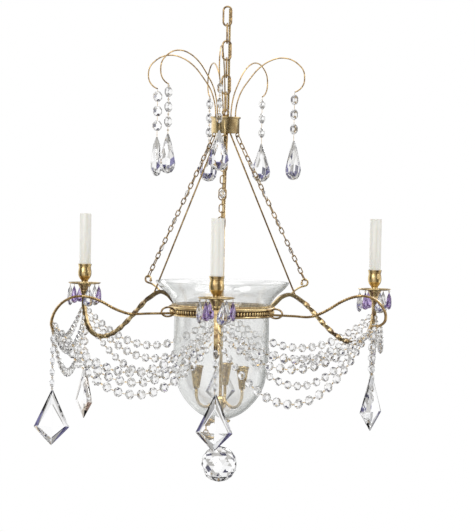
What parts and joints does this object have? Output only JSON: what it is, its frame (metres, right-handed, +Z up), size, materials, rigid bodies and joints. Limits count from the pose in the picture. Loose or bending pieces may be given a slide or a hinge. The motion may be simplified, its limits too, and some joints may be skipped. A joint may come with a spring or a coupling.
{
  "type": "crystal chandelier",
  "caption": "Bell-jar chandelier in antique brass: crown, glass bell, candle arms, kite crystals and swags of octagon beads.",
  "frame": {"origin": "the point in the top link's eye where it hangs from its ceiling hook", "axes": "+Z up along the stem, +X to the right of the pictured front, -Y towards its viewer"},
  "size_m": [0.6438, 0.7007, 0.8669],
  "materials": {
    "antique_brass": "antique brass, rubbed bright on its edges",
    "supply_cord": "gold sheath",
    "bell_glass": "clear blown glass",
    "lamp_socket": "dark, dull",
    "ivory_sleeve": "ivory, slightly glossy",
    "amethyst_glass": "cut violet crystal",
    "clear_crystal": "cut clear crystal"
  },
  "bodies": {
    "hanger": {"top_link": "antique_brass"},
    "chain": {"suspension_links": "antique_brass", "supply_cord": "supply_cord"},
    "fixture": {"cord_tail": "supply_cord", "crown_loop": "antique_brass", "crown_band": "antique_brass", "crown_fronds": "antique_brass", "support_chain_front": "antique_brass", "support_chain_right": "antique_brass", "support_chain_left": "antique_brass", "chain_crystals": "clear_crystal", "arm_wires": "antique_brass", "stem": "antique_brass", "bell_washer": "antique_brass", "bell_cap": "antique_brass", "glass_bell": "bell_glass", "gallery_ring": "antique_brass", "arm_front": "antique_brass", "arm_right": "antique_brass", "arm_left": "antique_brass", "chain_hooks": "antique_brass", "bobeches": "antique_brass", "candle_collars": "antique_brass", "candle_cups": "antique_brass", "lamp_sockets": "lamp_socket", "clear_drops": "clear_crystal", "amethyst_drops": "amethyst_glass", "ring_eyelets": "antique_brass", "lower_frond_left": "antique_brass", "lower_frond_right": "antique_brass", "lower_frond_back": "antique_brass", "inner_hub": "antique_brass", "inner_arms": "antique_brass", "inner_cups": "antique_brass", "inner_sockets": "lamp_socket"},
    "candle_sleeve_front": {"candle_sleeve_front": "ivory_sleeve"},
    "candle_sleeve_right": {"candle_sleeve_right": "ivory_sleeve"},
    "candle_sleeve_left": {"candle_sleeve_left": "ivory_sleeve"},
    "ball": {"ball_hook": "antique_brass", "crystal_ball": "clear_crystal"},
    "crown_strand_front": {"crown_strand_front": "clear_crystal"},
    "crown_strand_front_left": {"crown_strand_front_left": "clear_crystal"},
    "crown_strand_left": {"crown_strand_left": "clear_crystal"},
    "crown_strand_back_left": {"crown_strand_back_left": "clear_crystal"},
    "crown_strand_back_right": {"crown_strand_back_right": "clear_crystal"},
    "crown_strand_right": {"crown_strand_right": "clear_crystal"},
    "kite_front_arm": {"kite_front_arm": "clear_crystal"},
    "kite_right_arm": {"kite_right_arm": "clear_crystal"},
    "kite_left_arm": {"kite_left_arm": "clear_crystal"},
    "kite_left_frond": {"kite_left_frond": "clear_crystal"},
    "kite_right_frond": {"kite_right_frond": "clear_crystal"},
    "kite_back_frond": {"kite_back_frond": "clear_crystal"},
    "garland_front_right": {"garland_front_right": "clear_crystal"},
    "garland_side_right": {"garland_side_right": "clear_crystal"},
    "garland_back_right": {"garland_back_right": "clear_crystal"},
    "garland_back_left": {"garland_back_left": "clear_crystal"},
    "garland_side_left": {"garland_side_left": "clear_crystal"},
    "garland_front_left": {"garland_front_left": "clear_crystal"}
  },
  "joints": [
    {"name": "chain_swing", "type": "hinge", "parent": "hanger", "child": "chain", "pos_m": [0, 0, -0.02915], "axis": [0, 1, 0], "range_deg": [-20, 20]},
    {"name": "fixture_swing", "type": "hinge", "parent": "chain", "child": "fixture", "pos_m": [0, 0, -0.1845], "axis": [1, 0, 0], "range_deg": [-12, 12]},
    {"name": "candle_sleeve_front_lift", "type": "slide", "parent": "fixture", "child": "candle_sleeve_front", "axis": [0, 0, 1], "range_m": [0, 0.09]},
    {"name": "candle_sleeve_right_lift", "type": "slide", "parent": "fixture", "child": "candle_sleeve_right", "axis": [0, 0, 1], "range_m": [0, 0.09]},
    {"name": "candle_sleeve_left_lift", "type": "slide", "parent": "fixture", "child": "candle_sleeve_left", "axis": [0, 0, 1], "range_m": [0, 0.09]},
    {"name": "ball_swing", "type": "hinge", "parent": "fixture", "child": "ball", "pos_m": [0, 0, -0.7684], "axis": [1, 0, 0], "range_deg": [-25, 25]},
    {"name": "crown_strand_front_swing", "type": "hinge", "parent": "fixture", "child": "crown_strand_front", "pos_m": [-0.01087, -0.12423, -0.13837], "axis": [-0.9962, 0.0872, 0], "range_deg": [-8, 18]},
    {"name": "crown_strand_front_left_swing", "type": "hinge", "parent": "fixture", "child": "crown_strand_front_left", "pos_m": [-0.10215, -0.07153, -0.14427], "axis": [-0.5736, 0.8192, 0], "range_deg": [-8, 18]},
    {"name": "crown_strand_left_swing", "type": "hinge", "parent": "fixture", "child": "crown_strand_left", "pos_m": [-0.12423, 0.01087, -0.1487], "axis": [0.0872, 0.9962, 0], "range_deg": [-8, 18]},
    {"name": "crown_strand_back_left_swing", "type": "hinge", "parent": "fixture", "child": "crown_strand_back_left", "pos_m": [-0.03017, 0.121, -0.15559], "axis": [0.9703, 0.2419, 0], "range_deg": [-8, 18]},
    {"name": "crown_strand_back_right_swing", "type": "hinge", "parent": "fixture", "child": "crown_strand_back_right", "pos_m": [0.06792, 0.10458, -0.1549], "axis": [0.8387, -0.5446, 0], "range_deg": [-8, 18]},
    {"name": "crown_strand_right_swing", "type": "hinge", "parent": "fixture", "child": "crown_strand_right", "pos_m": [0.12423, -0.01087, -0.15116], "axis": [-0.0872, -0.9962, 0], "range_deg": [-8, 18]},
    {"name": "kite_front_arm_swing", "type": "hinge", "parent": "fixture", "child": "kite_front_arm", "pos_m": [-0.00932, -0.31386, -0.58994], "axis": [-0.0297, -0.9996, 0], "range_deg": [-12, 12]},
    {"name": "kite_right_arm_swing", "type": "hinge", "parent": "fixture", "child": "kite_right_arm", "pos_m": [0.28458, 0.1327, -0.58994], "axis": [0.9063, 0.4226, 0], "range_deg": [-12, 12]},
    {"name": "kite_left_arm_swing", "type": "hinge", "parent": "fixture", "child": "kite_left_arm", "pos_m": [-0.26032, 0.17559, -0.58994], "axis": [-0.829, 0.5592, 0], "range_deg": [-12, 12]},
    {"name": "kite_left_frond_swing", "type": "hinge", "parent": "fixture", "child": "kite_left_frond", "pos_m": [-0.29272, -0.169, -0.582], "axis": [-0.866, -0.5, 0], "range_deg": [-12, 12]},
    {"name": "kite_right_frond_swing", "type": "hinge", "parent": "fixture", "child": "kite_right_frond", "pos_m": [0.26327, -0.152, -0.56724], "axis": [0.866, -0.5, 0], "range_deg": [-12, 6]},
    {"name": "kite_back_frond_swing", "type": "hinge", "parent": "fixture", "child": "kite_back_frond", "pos_m": [0, 0.338, -0.582], "axis": [0, 1, 0], "range_deg": [-9, 12]},
    {"name": "garland_front_right_swing", "type": "hinge", "parent": "fixture", "child": "garland_front_right", "pos_m": [-0.00423, -0.31445, -0.5702], "axis": [0.8684, 0.4955, 0.0219], "range_deg": [-4, 4]},
    {"name": "garland_side_right_swing", "type": "hinge", "parent": "fixture", "child": "garland_side_right", "pos_m": [0.28713, 0.12826, -0.5702], "axis": [-0.0544, -0.9982, 0.0244], "range_deg": [-4, 4]},
    {"name": "garland_back_right_swing", "type": "hinge", "parent": "fixture", "child": "garland_back_right", "pos_m": [0.28282, 0.13751, -0.5702], "axis": [-0.808, 0.5891, -0.0026], "range_deg": [-4, 4]},
    {"name": "garland_back_left_swing", "type": "hinge", "parent": "fixture", "child": "garland_back_left", "pos_m": [-0.25782, 0.18006, -0.5702], "axis": [0.8448, 0.5351, -0.003], "range_deg": [-4, 4]},
    {"name": "garland_side_left_swing", "type": "hinge", "parent": "fixture", "child": "garland_side_left", "pos_m": [-0.26353, 0.1716, -0.5702], "axis": [-0.0988, -0.9951, -0.0027], "range_deg": [-4, 4]},
    {"name": "garland_front_left_swing", "type": "hinge", "parent": "fixture", "child": "garland_front_left", "pos_m": [-0.01443, -0.31414, -0.5702], "axis": [-0.8933, 0.4495, -0.0029], "range_deg": [-4, 4]}
  ]
}
